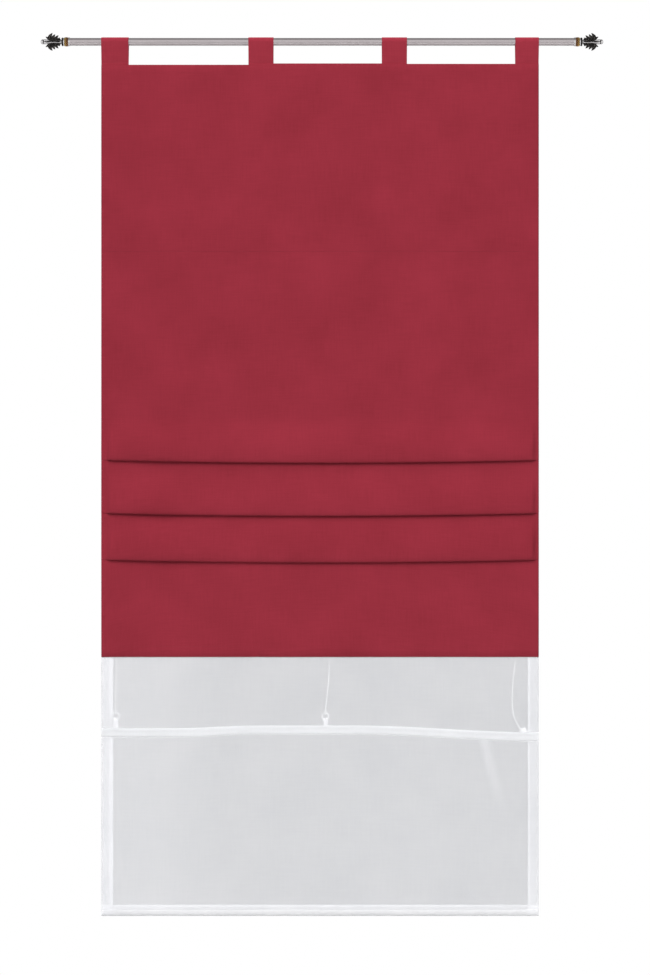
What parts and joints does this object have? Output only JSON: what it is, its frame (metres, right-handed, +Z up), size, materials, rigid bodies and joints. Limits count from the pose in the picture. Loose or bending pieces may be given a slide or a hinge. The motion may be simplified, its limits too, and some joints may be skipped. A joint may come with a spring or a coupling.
{
  "type": "roman blind",
  "caption": "Tab-top roman blind on a fluted rod with leaf finials: red cloth with three sewn folds, a white voile lower panel, four batten rows and three lift cords to a pull knob.",
  "frame": {"origin": "on the rod's axis, over the middle of the cloth", "axes": "+Z up, -Y is the face towards the room, +X to the right seen from the room"},
  "size_m": [1.0304, 0.037, 1.6154],
  "materials": {
    "rod_steel": "satin, fluted",
    "silver_zinc": "polished, slightly aged",
    "gold_brass": "antique",
    "antique_zinc": "blackened, with bright silver ridges",
    "screw_steel": "plain",
    "red_cloth": "matt plain weave",
    "white_voile": "sheer plain weave",
    "white_tape": "matt woven tape",
    "white_cord": "braided",
    "batten_plastic": "plain",
    "bar_steel": "white paint",
    "ring_plastic": "plain",
    "knob_plastic": "plain"
  },
  "bodies": {
    "root": {"curtain_rod": "rod_steel", "left_socket": "silver_zinc", "right_socket": "silver_zinc", "left_rope_ring": "gold_brass", "right_rope_ring": "gold_brass", "left_leaf_finial": "antique_zinc", "right_leaf_finial": "antique_zinc", "left_set_screw": "screw_steel", "right_set_screw": "screw_steel", "tab_1": "red_cloth", "tab_2": "red_cloth", "tab_3": "red_cloth", "tab_4": "red_cloth", "front_panel": "red_cloth", "voile_upper": "white_voile", "heading_band": "white_tape", "heading_tapes": "white_tape", "guide_ring_left": "ring_plastic", "guide_ring_centre": "ring_plastic", "guide_ring_right": "ring_plastic", "guide_ring_side": "ring_plastic", "lift_cord_left": "white_cord", "lift_cord_centre": "white_cord", "lift_cord_right": "white_cord", "cross_cord_left": "white_cord", "cross_cord_centre": "white_cord", "cross_cord_right": "white_cord", "pull_cord_left": "white_cord", "pull_cord_centre": "white_cord", "pull_cord_right": "white_cord"},
    "row_1": {"batten_pocket_1": "white_tape", "batten_1": "batten_plastic", "ring_tapes_1": "white_tape", "ring_1_left": "ring_plastic", "ring_1_centre": "ring_plastic", "ring_1_right": "ring_plastic"},
    "row_2": {"batten_pocket_2": "white_tape", "batten_2": "batten_plastic", "ring_tapes_2": "white_tape", "ring_2_left": "ring_plastic", "ring_2_centre": "ring_plastic", "ring_2_right": "ring_plastic"},
    "row_3": {"batten_pocket_3": "white_tape", "batten_3": "batten_plastic", "ring_tapes_3": "white_tape", "ring_3_left": "ring_plastic", "ring_3_centre": "ring_plastic", "ring_3_right": "ring_plastic"},
    "row_4": {"batten_pocket_4": "white_tape", "batten_4": "batten_plastic", "ring_tapes_4": "white_tape", "ring_4_left": "ring_plastic", "ring_4_centre": "ring_plastic", "ring_4_right": "ring_plastic", "cord_knots": "white_cord", "voile_skirt": "white_voile", "bottom_bar": "bar_steel"},
    "pull": {"pull_knob": "knob_plastic", "pull_knot": "white_cord"}
  },
  "joints": [
    {"name": "lift_1", "type": "slide", "parent": "root", "child": "row_1", "axis": [0, 0, 1], "range_m": [0, 0.28044], "deforming": ["front_panel", "voile_upper", "lift_cord_left", "lift_cord_centre", "lift_cord_right"]},
    {"name": "lift_2", "type": "slide", "parent": "row_1", "child": "row_2", "axis": [0, 0, 1], "range_m": [0, 0.28208]},
    {"name": "lift_3", "type": "slide", "parent": "row_2", "child": "row_3", "axis": [0, 0, 1], "range_m": [0, 0.15088]},
    {"name": "lift_4", "type": "slide", "parent": "row_3", "child": "row_4", "axis": [0, 0, 1], "range_m": [0, 0.28454]},
    {"name": "pull", "type": "slide", "parent": "root", "child": "pull", "axis": [0, 0, -1], "range_m": [0, 0.99794], "deforming": ["pull_cord_left", "pull_cord_centre", "pull_cord_right"]}
  ],
  "couplings": [
    {"joint": "lift_2", "follows": "lift_1", "ratio": 1.0058},
    {"joint": "lift_3", "follows": "lift_1", "ratio": 0.53801},
    {"joint": "lift_4", "follows": "lift_1", "ratio": 1.0146},
    {"joint": "pull", "follows": "lift_1", "ratio": 3.5585}
  ]
}
